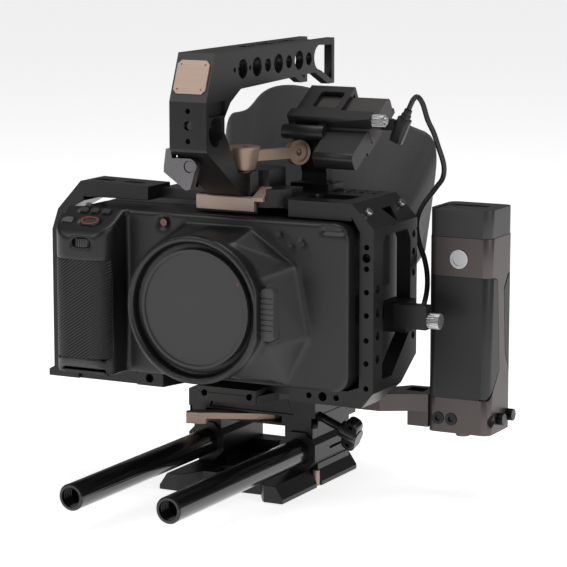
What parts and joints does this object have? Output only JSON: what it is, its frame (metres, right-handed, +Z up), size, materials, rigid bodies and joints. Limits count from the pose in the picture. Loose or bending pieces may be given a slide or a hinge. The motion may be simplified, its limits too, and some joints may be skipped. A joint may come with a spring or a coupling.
{
  "type": "cinema camera rig",
  "caption": "Cinema camera in a full cage with a top handle, drive holder, screen hood, powered side grip and a quick release rod base for a tripod.",
  "frame": {"origin": "centre of the quarter inch tripod hole in the underside of the base plate, directly below the lens axis", "axes": "+Z up, the lens looks along -Y, +X on the right seen from the front"},
  "size_m": [0.2637, 0.245, 0.2545],
  "materials": {
    "battery_case": "moulded",
    "black_anodised": "black anodised, bead blasted",
    "black_steel": "black oxide",
    "bronze_anodised": "bronze anodised, bead blasted",
    "button_plastic": "satin moulded",
    "cable_jacket": "smooth jacket",
    "camera_polycarbonate": "satin moulded black composite",
    "cap_plastic": "fine matt moulded",
    "cell_wrap": "shrink wrap",
    "circuit_board": "solder mask",
    "door_rubber": "satin",
    "drive_metal": "dark brushed",
    "fan_plastic": "moulded",
    "grip_cap_plastic": "satin dark grey",
    "grip_rubber": "ribbed black rubber",
    "gunmetal": "gunmetal anodised",
    "holder_plastic": "satin black",
    "hood_frame_plastic": "satin black",
    "hood_leatherette": "dark grey leatherette",
    "knob_plastic": "gloss black",
    "mount_steel": "turned steel",
    "plug_plastic": "overmoulded",
    "record_red": "dark button with a red ring",
    "rod_anodised": "gloss black anodised",
    "screen_glass": "polished black glass",
    "screw_steel": "polished",
    "sensor_glass": "coated filter glass",
    "still_silver": "satin",
    "tally_red": "clear red lens",
    "tan_anodised": "tan anodised, fine brushed",
    "titanium_grey": "warm grey anodised",
    "waist_rubber": "smooth matt rubber"
  },
  "bodies": {
    "base": {"dovetail_plate": "black_anodised", "quick_base": "black_anodised"},
    "camera": {"camera_front_shell": "camera_polycarbonate", "camera_rear_shell": "camera_polycarbonate", "grip_rubber": "grip_rubber", "lens_mount_ring": "mount_steel", "image_sensor": "sensor_glass", "main_board": "circuit_board", "camera_battery": "battery_case", "tally_lens": "tally_red", "touch_screen": "screen_glass", "cage_top_plate": "black_anodised", "cage_right_frame": "black_anodised", "cage_left_arm": "black_anodised", "cage_base": "black_anodised", "cage_badge": "tan_anodised", "cage_screws": "screw_steel", "handle_body": "black_anodised", "handle_badge": "tan_anodised", "drive_holder": "holder_plastic", "solid_state_drive": "drive_metal", "drive_plug": "plug_plastic", "data_cable": "cable_jacket", "cable_clamp": "black_anodised", "camera_plug": "plug_plastic", "hood_frame": "hood_frame_plastic", "sun_hood": "hood_leatherette", "side_grip_body": "titanium_grey", "side_grip_rubber": "waist_rubber", "grip_battery": "cell_wrap", "grip_bracket": "titanium_grey", "grip_screws": "black_steel", "quick_plate": "black_anodised"},
    "rod_left_body": {"rod_left": "rod_anodised"},
    "rod_right_body": {"rod_right": "rod_anodised"},
    "quick_lever_body": {"quick_lever": "tan_anodised"},
    "wing_knob_body": {"wing_knob": "knob_plastic"},
    "lock_pin_body": {"lock_pin": "tan_anodised"},
    "cap": {"body_cap": "cap_plastic"},
    "lens_release": {"lens_release_button": "button_plastic"},
    "record": {"record_button": "record_red"},
    "still": {"still_button": "still_silver"},
    "iso": {"iso_button": "button_plastic"},
    "shutter": {"shutter_button": "button_plastic"},
    "white_balance": {"white_balance_button": "button_plastic"},
    "power": {"power_switch": "still_silver"},
    "dial": {"control_dial": "button_plastic"},
    "port_cover": {"port_door": "door_rubber"},
    "battery_cover": {"battery_door": "camera_polycarbonate"},
    "menu": {"menu_button": "button_plastic"},
    "play": {"play_button": "button_plastic"},
    "fan": {"cooling_fan": "fan_plastic"},
    "lever": {"handle_lever": "bronze_anodised"},
    "clamp": {"handle_clamp": "gunmetal"},
    "drive_screw": {"drive_thumb_screw": "screw_steel"},
    "clamp_screw": {"clamp_thumb_screw": "screw_steel"},
    "grip_cap": {"grip_top_cap": "grip_cap_plastic"},
    "run": {"run_button": "screw_steel"},
    "grip_knob_front_body": {"grip_knob_front": "black_steel"},
    "grip_knob_rear_body": {"grip_knob_rear": "black_steel"}
  },
  "joints": [
    {"name": "quick_plate_slide", "type": "slide", "parent": "base", "child": "camera", "axis": [0, 1, 0], "range_m": [-0.02, 0.02]},
    {"name": "rod_left_slide", "type": "slide", "parent": "base", "child": "rod_left_body", "axis": [0, -1, 0], "range_m": [0, 0.03]},
    {"name": "rod_right_slide", "type": "slide", "parent": "base", "child": "rod_right_body", "axis": [0, -1, 0], "range_m": [0, 0.03]},
    {"name": "quick_lever_turn", "type": "hinge", "parent": "base", "child": "quick_lever_body", "pos_m": [0.01, 0.014, 0.039], "axis": [0, 0, 1], "range_deg": [0, 35]},
    {"name": "wing_knob_turn", "type": "hinge", "parent": "base", "child": "wing_knob_body", "pos_m": [0.043, 0.009, 0.042], "axis": [0.9272, 0, -0.3746], "continuous": true},
    {"name": "lock_pin_press", "type": "slide", "parent": "base", "child": "lock_pin_body", "axis": [-1, 0, 0], "range_m": [0, 0.002], "stiffness_N_per_m": 300, "springref_m": -0.0006},
    {"name": "cap_pull", "type": "slide", "parent": "camera", "child": "cap", "axis": [0, -1, 0], "range_m": [0, 0.04]},
    {"name": "lens_release_press", "type": "slide", "parent": "camera", "child": "lens_release", "axis": [0, 1, 0], "range_m": [0, 0.0012], "stiffness_N_per_m": 400, "springref_m": -0.0004},
    {"name": "record_press", "type": "slide", "parent": "camera", "child": "record", "axis": [0, 0.5446, -0.8387], "range_m": [0, 0.0008], "stiffness_N_per_m": 400, "springref_m": -0.0004},
    {"name": "still_press", "type": "slide", "parent": "camera", "child": "still", "axis": [0, 0.5446, -0.8387], "range_m": [0, 0.0008], "stiffness_N_per_m": 400, "springref_m": -0.0004},
    {"name": "iso_press", "type": "slide", "parent": "camera", "child": "iso", "axis": [0, 0.5446, -0.8387], "range_m": [0, 0.0006], "stiffness_N_per_m": 400, "springref_m": -0.0004},
    {"name": "shutter_press", "type": "slide", "parent": "camera", "child": "shutter", "axis": [0, 0.5446, -0.8387], "range_m": [0, 0.0006], "stiffness_N_per_m": 400, "springref_m": -0.0004},
    {"name": "white_balance_press", "type": "slide", "parent": "camera", "child": "white_balance", "axis": [0, 0.5446, -0.8387], "range_m": [0, 0.0006], "stiffness_N_per_m": 400, "springref_m": -0.0004},
    {"name": "power_slide", "type": "slide", "parent": "camera", "child": "power", "axis": [1, 0, 0], "range_m": [0, 0.0046]},
    {"name": "control_dial_spin", "type": "hinge", "parent": "camera", "child": "dial", "pos_m": [-0.076, -0.0546, 0.1445], "axis": [0, 0, 1], "continuous": true},
    {"name": "port_door_swing", "type": "hinge", "parent": "camera", "child": "port_cover", "pos_m": [0.08195, 0.014, 0.138], "axis": [0, 0, 1], "range_deg": [0, 90]},
    {"name": "battery_door_swing", "type": "hinge", "parent": "camera", "child": "battery_cover", "pos_m": [-0.078, -0.031, 0.0682], "axis": [1, 0, 0], "range_deg": [0, 90]},
    {"name": "menu_press", "type": "slide", "parent": "camera", "child": "menu", "axis": [0, -1, 0], "range_m": [0, 0.0008], "stiffness_N_per_m": 400, "springref_m": -0.0004},
    {"name": "play_press", "type": "slide", "parent": "camera", "child": "play", "axis": [0, -1, 0], "range_m": [0, 0.0008], "stiffness_N_per_m": 400, "springref_m": -0.0004},
    {"name": "fan_spin", "type": "hinge", "parent": "camera", "child": "fan", "pos_m": [0.052, 0.01, 0.118], "axis": [0, 1, 0], "continuous": true},
    {"name": "handle_lever_turn", "type": "hinge", "parent": "camera", "child": "lever", "pos_m": [0.008, -0.021, 0.192], "axis": [0, 0, 1], "range_deg": [0, 90]},
    {"name": "handle_clamp_turn", "type": "hinge", "parent": "camera", "child": "clamp", "pos_m": [-0.001, -0.064, 0.1928], "axis": [0, 1, 0], "range_deg": [-60, 0]},
    {"name": "drive_screw_turn", "type": "hinge", "parent": "camera", "child": "drive_screw", "pos_m": [0.0702, 0.01815, 0.21386], "axis": [1, 0, 0], "continuous": true},
    {"name": "clamp_screw_turn", "type": "hinge", "parent": "camera", "child": "clamp_screw", "pos_m": [0.112, 0.002, 0.1055], "axis": [1, 0, 0], "continuous": true},
    {"name": "grip_cap_lift", "type": "slide", "parent": "camera", "child": "grip_cap", "axis": [0, 0, 1], "range_m": [0, 0.01]},
    {"name": "run_press", "type": "slide", "parent": "camera", "child": "run", "axis": [0, 1, 0], "range_m": [0, 0.0008], "stiffness_N_per_m": 400, "springref_m": -0.0004},
    {"name": "grip_knob_front_turn", "type": "hinge", "parent": "camera", "child": "grip_knob_front_body", "pos_m": [0.141, 0.035, 0.046], "axis": [1, 0, 0], "continuous": true},
    {"name": "grip_knob_rear_turn", "type": "hinge", "parent": "camera", "child": "grip_knob_rear_body", "pos_m": [0.141, 0.049, 0.046], "axis": [1, 0, 0], "continuous": true}
  ]
}
